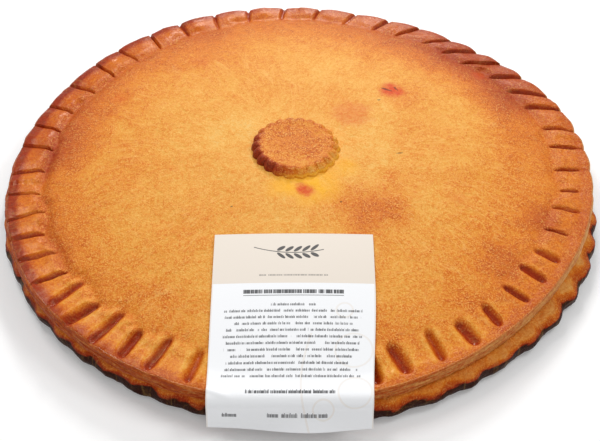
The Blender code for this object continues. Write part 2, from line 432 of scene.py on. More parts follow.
def soaked_spots(nodes, place, table):
    """1 in the spots of the table, with wandering outlines."""
    stray = nodes.math("MULTIPLY_ADD", nodes.noise(place, 7 * MM, 3, 0.6), 1.3, -0.65)
    result = 0.0
    for x, y, radius, strength in table:
        away = nodes.add("ShaderNodeVectorMath", operation="DISTANCE")
        nodes.feed(away.inputs[0], nodes.scaled(place, (1.0, 1.0, 0.0)))
        away.inputs[1].default_value = (x * MM, y * MM, 0.0)
        share = nodes.math("MULTIPLY_ADD", away.outputs["Value"], 1 / (radius * MM), stray)
        result = nodes.math("MAXIMUM", nodes.spread(share, 1.1, 0.35, 0.0, strength), result)
    return result


def crack_spots(nodes, place, table):
    """1 in the thin cracks of the table."""
    stray = nodes.math("MULTIPLY_ADD", nodes.noise(place, 1.6 * MM, 2, 0.5), 1.6, -0.8)
    result = 0.0
    for x, y, angle, half_length, half_width in table:
        node = nodes.add("ShaderNodeMapping", vector_type="TEXTURE")
        nodes.feed(node.inputs["Vector"], place)
        node.inputs["Location"].default_value = (x * MM, y * MM, 0.0)
        node.inputs["Rotation"].default_value = (0.0, 0.0, math.radians(angle))
        node.inputs["Scale"].default_value = (half_length * MM, half_width * MM, 1.0)
        away = nodes.add("ShaderNodeVectorMath", operation="LENGTH")
        nodes.feed(away.inputs[0], nodes.scaled(node.outputs[0], (1.0, 1.0, 0.0)))
        share = nodes.math("ADD", away.outputs["Value"], stray)
        result = nodes.math("MAXIMUM", nodes.spread(share, 1.0, 0.55), result)
    return result


def baked_dough(name, colours, grain=1.0, shine=0.30, leaks=(), cracks=()):
    """Crust whose colour follows how far it is baked, with stains, flaky layers and egg wash.

    It reads the piece's attributes: bake, oil, cut, layers and glaze.
    """
    nodes = Nodes(name)
    place = nodes.add("ShaderNodeTexCoord").outputs["Object"]
    bake = nodes.attribute("bake")
    layers = nodes.attribute("layers")
    glaze = nodes.attribute("glaze")

    polar = nodes.add("ShaderNodeAttribute", attribute_name="polar").outputs["Vector"]
    clouds = nodes.noise(place, 34 * MM, 3, 0.5, 0.4)
    mottle = nodes.noise(place, 7 * MM, 4, 0.6, 0.8)
    fine = nodes.noise(place, 1.7 * MM, 3, 0.65, 0.4)
    speck = nodes.noise(place, 0.75 * MM, 2, 0.6)
    veins = nodes.noise(polar, 6 * MM, 3, 0.5, 1.0)
    web = nodes.noise(place, 13 * MM, 4, 0.6, 1.4)
    streaks = nodes.noise(nodes.scaled(place, (1.0, 1.0, 16.0)), 11 * MM, 3, 0.6, 0.2)
    thin = nodes.noise(nodes.scaled(place, (1.0, 1.0, 20.0)), 5 * MM, 3, 0.7, 0.4)

    # Thin pale lines, where the skin of the dough stretched: along the middle value of two noises.
    vein = nodes.spread(nodes.math("ABSOLUTE", nodes.math("SUBTRACT", veins, 0.5)), 0.030, 0.0)
    thread = nodes.spread(nodes.math("ABSOLUTE", nodes.math("SUBTRACT", web, 0.5)), 0.026, 0.0)
    here = nodes.spread(clouds, 0.42, 0.56)
    there = nodes.math("SUBTRACT", 1.0, here)
    lines = nodes.math("MAXIMUM", nodes.math("MULTIPLY", vein, here), nodes.math("MULTIPLY", thread, there))
    lines = nodes.math("MULTIPLY", lines, nodes.spread(fine, 0.36, 0.56, 0.15, 1.0))
    lines = nodes.math("MULTIPLY", lines, nodes.spread(bake, 0.66, 0.48, 0.12, 0.50))

    # Pale specks on the grain, thicker in some places than in others: painted highlight glints, fewer on
    # glazed and dark crust.
    glint_specks = nodes.spread(speck, 0.51, 0.63)
    glint_specks = nodes.math("MULTIPLY", glint_specks, nodes.spread(mottle, 0.30, 0.68, 0.14, 0.70))
    glint_specks = nodes.math("MULTIPLY", glint_specks, nodes.spread(glaze, 0.9, 0.2, 0.45, 1.0))
    glint_specks = nodes.math("MULTIPLY", glint_specks, nodes.spread(bake, 0.95, 0.75, 0.05, 1.0))

    shift = nodes.total(
        nodes.spread(clouds, 0.28, 0.72, -0.05, 0.05),
        nodes.spread(mottle, 0.28, 0.72, -0.06, 0.06),
        nodes.spread(fine, 0.34, 0.66, -0.085, 0.048),
        nodes.spread(speck, 0.30, 0.70, 0.042, -0.085),
    )
    layered = nodes.total(
        nodes.math("MULTIPLY_ADD", streaks, 0.9, -0.45),
        nodes.math("MULTIPLY_ADD", thin, 0.7, -0.35),
    )
    calm = nodes.spread(bake, 0.85, 0.55, 0.25 * grain, grain)
    level = nodes.math("ADD", bake, nodes.math("MULTIPLY", shift, calm))
    colour = nodes.ramp(level, (
        (0.08, colours.pale), (0.26, colours.light), (0.42, colours.gold), (0.58, colours.amber),
        (0.74, colours.brown), (0.85, colours.russet), (1.0, colours.dark),
    ))
    # Painted highlight: the glint specks are mixed toward the pale fleck colour.
    colour = nodes.mix(nodes.math("MULTIPLY", glint_specks, min(1.0, 0.7 * grain)), colour, colours.fleck)
    colour = nodes.mix(lines, colour, colours.fleck)
    soaked = nodes.math("MULTIPLY", nodes.attribute("oil"), nodes.spread(mottle, 0.25, 0.6, 0.5, 1.0))
    colour = nodes.mix(soaked, colour, colours.oil)
    if leaks:
        stained = soaked_spots(nodes, place, leaks)
        stained = nodes.math("MULTIPLY", stained, nodes.spread(fine, 0.3, 0.6, 0.7, 1.0))
        colour = nodes.mix(stained, colour, colours.leak)
        cracked = nodes.math("MULTIPLY", crack_spots(nodes, place, cracks), 0.7)
        colour = nodes.mix(cracked, colour, colours.dark)

    # The cut edge shows its layers, browner where they are flaky, with dark gaps between them.
    flaky = nodes.total(nodes.math("MULTIPLY", layers, 0.42), nodes.math("MULTIPLY", layered, 0.85), 0.10)
    flaky = nodes.math("ADD", flaky, nodes.spread(fine, 0.3, 0.7, -0.08, 0.08))
    section = nodes.ramp(flaky, (
        (0.0, colours.pale), (0.15, colours.crumb), (0.45, colours.brown), (0.70, colours.russet),
        (0.85, colours.dark),
    ))
    colour = nodes.mix(nodes.attribute("cut"), colour, section)
    gaps = nodes.math("MULTIPLY", nodes.spread(thin, 0.38, 0.31), layers)
    colour = nodes.mix(nodes.math("MULTIPLY", gaps, 0.85), colour, colours.dark)

    sheen = nodes.math("MULTIPLY_ADD", mottle, 0.18, 0.42)
    roughness = nodes.math("SUBTRACT", sheen, nodes.math("MULTIPLY", glaze, 0.27))
    skin = nodes.spread(glaze, 0.2, 1.0, 1.0, 0.3)
    relief = nodes.bump(nodes.math("MULTIPLY", mottle, skin), 1.0 * MM, 0.7)
    relief = nodes.bump(nodes.math("MULTIPLY", fine, skin), 0.5 * MM, 0.9, relief)
    relief = nodes.bump(nodes.math("MULTIPLY", speck, skin), 0.22 * MM, 0.9, relief)
    relief = nodes.bump(nodes.math("MULTIPLY", layered, layers), 1.0 * MM, 0.9, relief)
    nodes.shader.inputs["Specular IOR Level"].default_value = shine
    nodes.shader.inputs["Specular Tint"].default_value = (1.0, 0.78, 0.55, 1.0)
    return nodes.finish(Base_Color=colour, Roughness=roughness, Normal=relief)


# ---------------------------------------------------------------- the doughs


def mark_table(sizes):
    """Each press mark's middle, slant, half width, depth, ends, openness, lobe, skew, notch, valley,
    and how dark it is."""
    draw = random.Random(51)
    rows = []
    for number in range(sizes.marks):
        middle = float(hand_pitch(math.tau * (number + 0.5) / sizes.marks))
        zone = [float(by_angle(middle, MARK_ZONES, column)) for column in range(1, 11)]
        half, deep, inner, outer, opened, lobe, skew, notch, valley, dark = zone
        rows.append((
            middle + math.radians(draw.uniform(-0.7, 0.7)),
            draw.uniform(-0.16, 0.16),
            half * draw.uniform(0.75, 1.25) * MM,
            deep * draw.uniform(0.6, 1.15) * MM,
            (inner + draw.uniform(-1.8, 1.8)) * MM,
            (outer + draw.uniform(-1.4, 1.0)) * MM,
            opened * draw.uniform(0.6, 1.0),
            lobe * draw.uniform(0.5, 1.3) * MM,
            skew * draw.uniform(0.4, 1.4) * MM,
            notch * draw.uniform(0.2, 1.5) * MM,
            valley * MM,
            dark * draw.uniform(0.4, 1.15),
        ))
    return np.array(rows)


def marked_angles(turn, marks, table):
    """The angle of each point, with more points where a mark is, and the step to the mark's middle."""
    even = turn * marks / math.tau
    number = np.floor(even).astype(int) % marks
    off = np.floor(even) + 0.5 - even
    off = -np.sign(off) * 0.5 * np.abs(2 * off) ** CROWDING
    middles = table[:, 0]
    around = np.concatenate([[middles[-1] - math.tau], middles, [middles[0] + math.tau]])
    angle = np.interp(np.floor(even) + 0.5 + off, np.arange(-0.5, marks + 1), around)
    return number, off, angle


def rim_fields(radius, number, off, angle, table):
    """What pressing the rim does at each point: the groove 0..1 and what it does to the dough."""
    middle, slant, half, deep, inner, outer, opened, lobe, skew, notch, valley, dark = table[number].T
    centre = (inner + outer) / 2
    across = (angle - middle) * radius
    reach = np.clip((radius - centre) / (outer - inner) * 2, -1.15, 1.15)
    reach = np.where(reach > 0, reach * (1 - 0.75 * opened), reach)
    taper = np.sqrt(np.clip(1.32 - reach**2, 0.02, 1.0))
    trough = np.exp(-(np.abs(across / (half * taper)) ** 2.4)) * smooth(1.15, 0.72, np.abs(reach))
    lips = np.exp(-(((np.abs(across) - 1.8 * half) / (0.8 * half)) ** 2)) * smooth(1.2, 0.6, np.abs(reach))

    # The dough between two marks: a pad whose sides fall to its marks, one side higher.
    share = (off + 1.0) % 1.0
    pad = np.sin(math.pi * share) ** 0.75
    ends = smooth(inner - 1.0 * MM, inner + 6 * MM, radius)
    ends *= 1 - 0.5 * smooth(outer - 3 * MM, outer + 2 * MM, radius)
    higher = smooth(0.06, 0.94, share) * (1 - smooth(0.94, 1.0, share)) * np.maximum(skew, 0)
    higher += smooth(0.94, 0.06, share) * (1 - smooth(0.06, 0.0, share)) * np.maximum(-skew, 0)
    raised = ends * (pad * lobe + higher)
    dip = valley * np.exp(-(((radius - inner + 0.5 * MM) / (3.2 * MM)) ** 2))
    slope = slant * (1 - (2 * np.abs(off)) ** 2) + by_angle(angle, LEAN_BY_ANGLE, 1)
    leaning = slope * (radius - centre.mean()) / np.maximum(radius, 0.1)
    leaning = leaning * smooth(LEAN_FROM, LEAN_FULL, radius)
    return {
        "groove": trough,
        "dark": trough * dark,
        "lips": lips,
        "drop": trough * deep - lips * 0.20 * deep - raised + dip,
        "notch": (1 - pad) * notch * 1.6,
        "pad": pad * ends,
        "dip": dip / (1.5 * MM),
        "lean": leaning,
    }


def spots(points, table):
    """The sum of soft round spots at (x, y, radius, strength), with wandering outlines."""
    stray = roughness_at(points, 14 * MM, 2)
    total = np.zeros(len(points))
    for x, y, radius, strength in table:
        away = np.hypot(points[:, 0] - x * MM, points[:, 1] - y * MM) / (radius * MM)
        total += strength * smooth(1.15, 0.15, away + 0.28 * stray)
    return total


def lid_profile(sizes):
    """The top dough's section: over the dome, down its cut edge and back underneath."""
    rim = sizes.rim_radius
    top, seam = sizes.rim_height, sizes.seam_height
    thickness = top - seam
    inside = [r * MM for r in range(0, 130, 3)]
    marked = [rim - (30 - step) * MM for step in range(29)]
    profile = [(r, float(dome(r, sizes))) for r in inside + marked]
    profile += [(rim - 1.1 * MM, top - 0.12 * MM), (rim - 0.5 * MM, top - 0.45 * MM)]
    bands = 13
    for band in range(bands + 1):
        down = band / bands
        height = top - 1.0 * MM - down * (thickness - 1.0 * MM)
        profile.append((rim + (0.5 * math.sin(math.pi * down) - 0.5 * down) * MM, height))
    for r in (156, 151, 142, 112, 60, 0):
        profile.append((r * MM, float(dome(r * MM, sizes)) - thickness))
    return profile


def top_dough(sizes):
    """The domed sheet with its pressed rim and its cut edge."""
    steps = sizes.marks * STEPS_PER_MARK
    profile = lid_profile(sizes)
    piece = spun("top_dough", profile, steps)
    before = points_of(piece)
    radius = np.hypot(before[:, 0], before[:, 1])
    turn = np.arctan2(before[:, 1], before[:, 0]) % math.tau
    table = mark_table(sizes)
    number, off, angle = marked_angles(turn, sizes.marks, table)
    rim = sizes.rim_radius
    thickness = sizes.rim_height - sizes.seam_height
    on_top = smooth(0.0, 1.2 * MM, before[:, 2] - (dome(radius, sizes) - 0.35 * thickness))
    side = smooth(rim - 1.2 * MM, rim - 0.3 * MM, radius)
    fields = rim_fields(radius, number, off, angle, table)
    angle = angle + fields["lean"]

    wide = radius + smooth(100 * MM, rim, radius) * waves(angle, TOP_WAVES)
    height = before[:, 2] + dome(wide, sizes) - dome(radius, sizes)
    height -= on_top * fields["drop"]
    wide -= fields["notch"] * smooth(rim - 9 * MM, rim, radius)

    # The cut edge: flaky and ragged at the left, cleaner at the right.
    ragged = 0.5 + 0.5 * np.cos(angle - math.radians(FLAKY_ANGLE))
    down = (sizes.rim_height - before[:, 2]) / thickness
    round_edge = np.stack([np.cos(angle) * rim, np.sin(angle) * rim, before[:, 2] * 9], 1)
    flakes = roughness_at(round_edge, 9 * MM, 2)
    wide += side * flakes * (0.35 + 0.65 * ragged) * 0.9 * MM * smooth(0.0, 0.25, down)
    turned = np.stack([wide * np.cos(angle), wide * np.sin(angle), height], 1)
    set_points(piece, turned)

    # Browning: more toward the rim, in the toasted patches and in the glazed marks.
    bake = np.interp(radius / rim * 160, *np.array(BAKE_BY_RADIUS, float).T)
    bake += by_angle(angle, BAKE_BY_ANGLE, 1) * smooth(100 * MM, 140 * MM, radius)
    bake += spots(turned, TOASTED)
    grooved = fields["groove"] * on_top * (1 - side)
    front = smooth(0.25, 0.9, -np.sin(angle))
    bake += (0.26 + 0.07 * front) * (fields["dark"] * on_top * (1 - side)) ** 0.8
    rim_zone = smooth(rim - 20 * MM, rim - 12 * MM, radius) * (1 - side)
    left = 0.5 + 0.5 * np.cos(angle - math.radians(-178))
    shoulder = np.exp(-(((radius - 137 * MM) / (6 * MM)) ** 2)) * (0.4 + 0.6 * fields["dip"])
    blotches = 0.5 + 0.5 * roughness_at(turned, 12 * MM, 2)
    bake += shoulder * blotches * 0.16 * (0.35 + 0.65 * left)
    bake += smooth(rim - 9 * MM, rim - 3 * MM, radius) * (1 - side) * (0.02 + 0.22 * left**1.5)
    bake -= rim_zone * fields["pad"] * 0.05
    # Painted highlight: the crust round each mark's lips is made lighter, most at the front, where glints
    # fall on the marks.
    bake -= fields["lips"] * on_top * (1 - side) * (0.03 + 0.10 * front)
    bake = np.minimum(bake, 0.88) + 0.12 * side
    set_polar(piece, turned, 90 * MM)
    set_attribute(piece, "bake", bake)
    set_attribute(piece, "oil", spots(turned, OILY) * on_top)
    set_attribute(piece, "cut", side * (1 - 0.5 * smooth(0.2, 0.0, down)))
    set_attribute(piece, "layers", side * (0.15 + 0.85 * ragged))
    set_attribute(piece, "glaze", np.clip(0.9 * grooved + rim_zone * (0.5 + 0.4 * left), 0, 1))

    uneven(piece, "soft_waves", 42 * MM, 1.3 * MM)
    uneven(piece, "swellings", 17 * MM, 0.7 * MM)
    uneven(piece, "lumps", 6 * MM, 0.35 * MM)
    shade_smooth(piece, 60)
    return piece


def bottom_dough(sizes):
    """The dough under the lid, with a rounded lip that stands out round the pie."""
    steps = sizes.marks * STEPS_PER_MARK
    seam = sizes.seam_height - DOUGH_GAP
    low = BASE_LOW.z
    edge = (BASE_HIGH.x - BASE_LOW.x + BASE_HIGH.y - BASE_LOW.y) / 4 - 1.6 * MM
    thickness = sizes.rim_height - sizes.seam_height
    profile = []
    for r in (0, 60, 112, 142, 150):
        profile.append((r * MM, float(dome(r * MM, sizes)) - thickness - DOUGH_GAP))
    bands = 22
    for band in range(bands + 1):
        swing = math.pi * band / bands
        # A rounded lip: flat on top, full in the middle and drawn in at the foot.
        out = math.sin(swing) ** 0.70 if 0 < band < bands else 0.0
        height = low + (seam - low) * (0.5 + 0.5 * math.cos(swing))
        profile.append((edge - 5.2 * MM + 5.6 * MM * out, height))
    for r in (130, 60, 0):
        profile.append((r * MM, low))
    piece = spun("bottom_dough", profile, steps)
    before = points_of(piece)
    radius = np.hypot(before[:, 0], before[:, 1])
    turn = np.arctan2(before[:, 1], before[:, 0]) % math.tau
    angle = hand_pitch(turn)
    share = (before[:, 2] - low) / (seam - low)
    outer = smooth(edge - 12 * MM, edge - 1.0 * MM, radius)

    phase = (turn * sizes.marks / math.tau) % 1.0
    lobes = np.cos(math.tau * (phase - 0.5 + 0.08 * np.sin(3 * angle)))
    from_lip = np.angle(np.exp(1j * (angle - math.radians(LIP_ANGLE))))
    sag = smooth(math.radians(LIP_SPAN), 0.0, np.abs(from_lip))
    ring = np.stack([np.cos(angle) * edge, np.sin(angle) * edge, before[:, 2] * 2], 1)
    lumps = roughness_at(ring, 17 * MM, 3)
    wide = radius + outer * (waves(angle, BASE_WAVES) + lumps * 0.9 * MM)
    wide -= outer * lobes * (0.5 + 0.5 * sag) * MM
    wide += outer * sag * LIP_OUT * smooth(1.0, 0.6, share)
    height = before[:, 2] - outer * smooth(0.4, 1.0, share) * (sag * LIP_DROP + 0.3 * MM * lobes * sag)
    height += outer * smooth(0.35, 0.0, share) * smooth(0.02, 0.2, share) * lumps * 0.5 * MM
    height = np.maximum(height, low)
    turned = np.stack([wide * np.cos(angle), wide * np.sin(angle), height], 1)
    set_points(piece, turned)

    # Golden to red-brown on the lip and near black underneath: partly a burnt underside, partly painted
    # shade under the overhanging lip; the line between them wanders.
    ragged = 0.5 + 0.5 * np.cos(angle - math.radians(FLAKY_ANGLE))
    crumbs = roughness_at(ring, 4.5 * MM, 2)
    line = share + 0.10 * lumps - 0.05 * lobes + 0.12 * crumbs - 0.07 * sag
    bake = 0.50 + 0.19 * ragged + 0.06 * lumps
    bake += 0.20 * smooth(0.93, 0.76, line) + 0.34 * smooth(0.72, 0.56, line) + 0.05 * crumbs
    set_polar(piece, turned, 90 * MM)
    set_attribute(piece, "bake", bake)
    set_attribute(piece, "oil", np.zeros(len(bake)))
    set_attribute(piece, "cut", 0.75 * outer * smooth(0.86, 0.96, line) * (0.3 + 0.7 * sag))
    set_attribute(piece, "layers", outer * (0.1 + 0.3 * ragged))
    set_attribute(piece, "glaze", outer * smooth(0.8, 0.4, share) * 0.35)
    uneven(piece, "lip_lumps", 6 * MM, 1.1 * MM)
    shade_smooth(piece, 60)
    return piece


def fluted_disc(sizes):
    """The round of dough cut with a fluted cutter, a little higher at one side."""
    steps = sizes.flutes * STEPS_PER_FLUTE
    radius_out = (DISC_HIGH.x - DISC_LOW.x) / 2 - 0.8 * MM
    centre = (DISC_LOW + DISC_HIGH) / 2
    top, foot = DISC_HIGH.z - 0.6 * MM, DISC_LOW.z - 0.7 * MM
    profile = [(radius_out * share, top) for share in np.linspace(0, 0.9, 22)]
    bands = 16
    for band in range(1, bands + 1):
        down = band / bands
        bulge = 0.1 * math.sin(math.pi * min(1.0, down * 1.6) / 2) ** 0.8 + 0.03 * down
        profile.append((radius_out * (0.9 + bulge), top - (top - foot) * down**1.4))
    profile += [(radius_out * 0.5, foot), (0.0, foot)]
    piece = spun("fluted_disc", profile, steps)
    before = points_of(piece)
    radius = np.hypot(before[:, 0], before[:, 1])
    angle = np.arctan2(before[:, 1], before[:, 0])
    share = radius / radius_out
    fluting = np.abs(np.cos(angle * sizes.flutes / 2)) ** 0.9 * 2 - 1.2
    wide = radius + sizes.flute_depth * fluting * smooth(0.62, 1.0, share)
    on_top = smooth(foot, top, before[:, 2])
    height = before[:, 2] + on_top * (0.7 * np.cos(angle - math.radians(125)) * share) * MM
    height += on_top * (0.5 * smooth(0.55, 0.85, share) - 1.0 * smooth(0.86, 1.0, share)) * MM
    height += on_top * fluting * 0.25 * MM * smooth(0.7, 1.0, share)
    wide += 0.9 * MM * smooth(0.6, 0.0, on_top) * smooth(-0.2, 1.0, np.cos(angle - math.radians(-50)))
    turned = np.stack([wide * np.cos(angle), wide * np.sin(angle), height], 1)
    turned[:, 0] += centre.x
    turned[:, 1] += centre.y
    set_points(piece, turned)

    left = smooth(0.1, 1.0, np.cos(angle - math.radians(-150)))
    right = smooth(-0.1, 0.9, np.cos(angle - math.radians(-35)))
    rim = smooth(0.78, 0.98, share)
    ring = np.exp(-(((share - 0.88) / 0.05) ** 2)) * on_top
    bake = 0.62 + 0.04 * smooth(0.8, 0.2, share) + rim * (0.30 * left - 0.14 * right) + 0.10 * ring
    set_polar(piece, before, 24 * MM)
    set_attribute(piece, "bake", bake)
    set_attribute(piece, "oil", 0.65 * rim * right * smooth(0.9, 0.3, on_top))
    set_attribute(piece, "cut", np.zeros(len(bake)))
    set_attribute(piece, "layers", np.zeros(len(bake)))
    set_attribute(piece, "glaze", 0.5 * rim * left)
    uneven(piece, "disc_lumps", 5 * MM, 0.5 * MM)
    shade_smooth(piece, 60)
    return piece


# ---------------------------------------------------------------- the paper label


def lying_length(sizes):
    """From the label's upper edge to where it starts to bend down."""
    return LABEL_HIGH.y + sizes.rim_radius - FOLD_INSIDE


def label_surface(x, along, sizes):
    """Y and Z of the paper at x, this far along it from its upper edge."""
    start = LABEL_HIGH.y
    lying = lying_length(sizes)
    bend = FOLD_RADIUS * math.pi / 2
    y = start - np.minimum(along, lying)
    drape = 0.15 * dome(np.abs(y), sizes) + 0.85 * dome(np.hypot(x, y), sizes)
    z = drape + LABEL_LIFT
    swept = np.clip((along - lying) / FOLD_RADIUS, 0, math.pi / 2)
    y = y - FOLD_RADIUS * np.sin(swept)
    z = z - FOLD_RADIUS * (1 - np.cos(swept))
    hung = np.maximum(along - lying - bend, 0.0)
    billow = 0.35 + 0.65 * np.exp(-(((x - 4 * MM) / (26 * MM)) ** 2))
    crease = (along - 91 * MM - 0.35 * (x - LABEL_LOW.x)) / (1.3 * MM)
    z = z + 0.9 * MM * np.exp(-(crease**2)) * smooth(14 * MM, 2 * MM, x - LABEL_LOW.x)
    y = y - 0.45 * hung**1.15 * billow * 3.0
    z = z - hung * (1 - 0.10 * billow)
    return y, z


def paper_label(sizes):
    """The sheet of paper laid over the crust and bent over the rim."""
    left, right = LABEL_LOW.x, LABEL_HIGH.x
    width = right - left
    length = lying_length(sizes) + FOLD_RADIUS * math.pi / 2 + LABEL_HANG
    deselect_all()
    bpy.ops.mesh.primitive_plane_add(size=1.0, location=(0.5, 0.5, 0.0))
    piece = bpy.context.object
    piece.name = "paper_label"
    piece.data.name = "paper_label"
    bpy.ops.object.transform_apply(location=True, rotation=True, scale=True)
    bpy.ops.object.mode_set(mode="EDIT")
    bpy.ops.mesh.select_all(action="SELECT")
    for _ in range(7):
        bpy.ops.mesh.subdivide(number_cuts=1)
    bpy.ops.object.mode_set(mode="OBJECT")
    flat = points_of(piece)
    along = length * (1 - flat[:, 1])
    x = left + (width - LABEL_TAPER * smooth(30 * MM, 105 * MM, along)) * flat[:, 0]
    y, z = label_surface(x, along, sizes)
    set_points(piece, np.stack([x, y, z], 1))

    sheet = piece.data.uv_layers.new(name="sheet") if not piece.data.uv_layers else piece.data.uv_layers[0]
    sheet.name = "sheet"
    loops = np.empty(len(piece.data.loops), int)
    piece.data.loops.foreach_get("vertex_index", loops)
    uv = np.stack([width * flat[loops, 0], length * flat[loops, 1]], 1)
    sheet.data.foreach_set("uv", np.ascontiguousarray(uv, np.float32).ravel())

    bpy.context.view_layer.objects.active = piece
    thick = piece.modifiers.new("paper", "SOLIDIFY")
    thick.thickness = sizes.paper
    thick.offset = 1.0
    bpy.ops.object.modifier_apply(modifier="paper")
    shade_smooth(piece, 50)
    return piece


def printed_paper(colours, width, length):
    """White paper with a cream band, an ear of wheat in it, and bars where the print would be."""
    nodes = Nodes("printed_paper")
    sheet = nodes.add("ShaderNodeUVMap", uv_map="sheet").outputs[0]
    split = nodes.add("ShaderNodeSeparateXYZ")
    nodes.feed(split.inputs[0], sheet)
    across, up = split.outputs[0], split.outputs[1]
    down = nodes.math("SUBTRACT", length, up)
    from_middle = nodes.math("SUBTRACT", across, width / 2)
    aside = nodes.math("ABSOLUTE", from_middle)
    soft = 0.08 * MM

    def below(value, limit):
        """1 where the value is under the limit, with an edge as soft as ink on paper."""
        return nodes.spread(value, limit + soft, limit - soft)

    def between(value, low, high):
        return nodes.math("MULTIPLY", below(value, high), nodes.spread(value, low - soft, low + soft))

    def squared(value):
        return nodes.math("MULTIPLY", value, value)

    def both(*terms):
        """The product: 1 where every term is."""
        result = terms[0]
        for term in terms[1:]:
            result = nodes.math("MULTIPLY", result, term)
        return result

    def line_noise(place, size):
        node = nodes.add("ShaderNodeTexNoise", noise_dimensions="1D")
        nodes.feed(node.inputs["W"], place)
        node.inputs["Scale"].default_value = 1 / size
        node.inputs["Detail"].default_value = 0.0
        return node.outputs["Fac"]

    def words(row, size, weight=0.5):
        """Blocks of uneven length with small gaps, another set for each row, made of short uprights."""
        place = nodes.math("MULTIPLY_ADD", row, 0.61, across)
        stray = line_noise(place, 0.8 * size)
        uneven_place = nodes.math("MULTIPLY_ADD", place, 1 / size, nodes.math("MULTIPLY", stray, 1.8))
        block = nodes.math("FRACT", uneven_place)
        gap = 0.9 * MM / size
        inked = nodes.math("MULTIPLY", nodes.spread(block, gap, gap + 0.04), nodes.spread(block, 1.0, 0.96))
        strokes = line_noise(nodes.math("ADD", place, 3.7), 0.40 * MM)
        return nodes.math("MULTIPLY", inked, nodes.spread(strokes, weight - 0.14, weight - 0.02, 0.25, 1.0))

    def row_of(top, height):
        """A row's height, with some of its uprights taller."""
        tall = nodes.spread(line_noise(nodes.math("ADD", across, 100 * top), 0.9 * MM), 0.60, 0.66)
        start = nodes.math("MULTIPLY_ADD", tall, -0.35 * height, top)
        return both(below(nodes.math("SUBTRACT", start, down), 0.0), below(down, top + height))

    # The list: eleven centred rows under a short one.
    rows, pitch, first_row = 12, 3.55 * MM, 42.2 * MM
    row_place = nodes.math("DIVIDE", nodes.math("SUBTRACT", down, first_row), pitch)
    row = nodes.math("FLOOR", row_place)
    inside = nodes.math("FRACT", row_place)
    drawn = nodes.add("ShaderNodeTexWhiteNoise", noise_dimensions="1D")
    nodes.feed(drawn.inputs["W"], nodes.math("ADD", row, 0.5))
    reach = nodes.math("MULTIPLY_ADD", drawn.outputs["Value"], 5.5 * MM, 28.5 * MM)
    first = nodes.spread(row, 0.4, 0.6)
    reach = nodes.math("MULTIPLY", reach, nodes.math("MULTIPLY_ADD", first, 0.68, 0.32))
    raised = nodes.math("MULTIPLY_ADD", row, 0.37, across)
    start = nodes.spread(line_noise(raised, 0.8 * MM), 0.58, 0.66, 0.34, 0.20)
    above = nodes.spread(nodes.math("SUBTRACT", inside, start), 0.0, 0.05)
    tall = nodes.math("MULTIPLY", above, nodes.spread(inside, 0.72, 0.67))
    within = nodes.spread(nodes.math("SUBTRACT", aside, reach), soft, -soft)
    listed = both(tall, within, between(down, first_row, first_row + rows * pitch), words(row, 6.5 * MM))

    # A title with a rule under it, a line in bold below the list, and two short items at the foot.
    title = both(between(down, 35.3 * MM, 37.6 * MM), below(aside, 24.5 * MM), words(31.0, 13 * MM, 0.42))
    rule = both(between(down, 38.5 * MM, 38.85 * MM), below(aside, 24.5 * MM))
    bold = both(row_of(91.4 * MM, 1.7 * MM), below(aside, 21.5 * MM), words(47.0, 9 * MM, 0.44))
    short = both(between(across, 7.5 * MM, 14.5 * MM), words(53.0, 16 * MM, 0.44))
    longer = both(between(across, 29.0 * MM, 58.0 * MM), words(59.0, 8 * MM))
    foot = both(row_of(103.3 * MM, 1.6 * MM), nodes.math("MAXIMUM", short, longer))
    tag = both(between(down, 26.2 * MM, 27.1 * MM), below(aside, 17.0 * MM), words(67.0, 9 * MM))

    # An ear of wheat: a stem with a row of slanted grains on either side.
    ear_down = nodes.math("SUBTRACT", down, 12.6 * MM)
    sway = nodes.math("MULTIPLY", squared(from_middle), 9.0)
    ear_down = nodes.math("ADD", ear_down, sway)
    grain_pitch = 4.2 * MM
    cell = nodes.math("SUBTRACT", nodes.math("FRACT", nodes.math("DIVIDE", from_middle, grain_pitch)), 0.5)
    along = nodes.math("MULTIPLY", cell, grain_pitch)
    lifted = nodes.math("SUBTRACT", nodes.math("ABSOLUTE", ear_down), 2.3 * MM)
    slant = math.radians(38)
    length_way = nodes.math("ADD", nodes.math("MULTIPLY", along, math.cos(slant)),
                            nodes.math("MULTIPLY", lifted, math.sin(slant)))
    width_way = nodes.math("SUBTRACT", nodes.math("MULTIPLY", lifted, math.cos(slant)),
                           nodes.math("MULTIPLY", along, math.sin(slant)))
    oval = nodes.math("ADD", squared(nodes.math("DIVIDE", length_way, 2.55 * MM)),
                      squared(nodes.math("DIVIDE", width_way, 0.95 * MM)))
    grains = both(nodes.spread(oval, 1.12, 0.88), between(from_middle, -2 * grain_pitch, 3 * grain_pitch))
    stem = both(between(ear_down, -0.25 * MM, 0.25 * MM), between(from_middle, -20 * MM, 15 * MM))

    # Faint flourishes at the lower right: rings and the stalks that hold them.
    faint = 0.0
    for x, y, radius in ((70, 69, 9), (71, 92, 8), (56, 101, 5), (65, 47, 4)):
        spread_x = nodes.math("SUBTRACT", across, x * MM)
        spread_y = nodes.math("SUBTRACT", down, y * MM)
        away = nodes.math("SQRT", nodes.math("ADD", squared(spread_x), squared(spread_y)))
        from_ring = nodes.math("ABSOLUTE", nodes.math("SUBTRACT", away, radius * MM))
        ring = nodes.spread(from_ring, 0.6 * MM, 0.35 * MM)
        faint = nodes.math("MAXIMUM", ring, faint)
    stalk_bend = nodes.math("MULTIPLY", nodes.math("SINE", nodes.math("MULTIPLY", down, 55.0)), 5 * MM)
    stalk_place = nodes.math("ADD", stalk_bend, 50 * MM)
    stalk = nodes.math("ABSOLUTE", nodes.math("SUBTRACT", across, stalk_place))
    stalk = both(nodes.spread(stalk, 0.65 * MM, 0.4 * MM), between(down, 60 * MM, 112 * MM))
    faint = nodes.math("MULTIPLY", nodes.math("MAXIMUM", faint, stalk), 0.4)

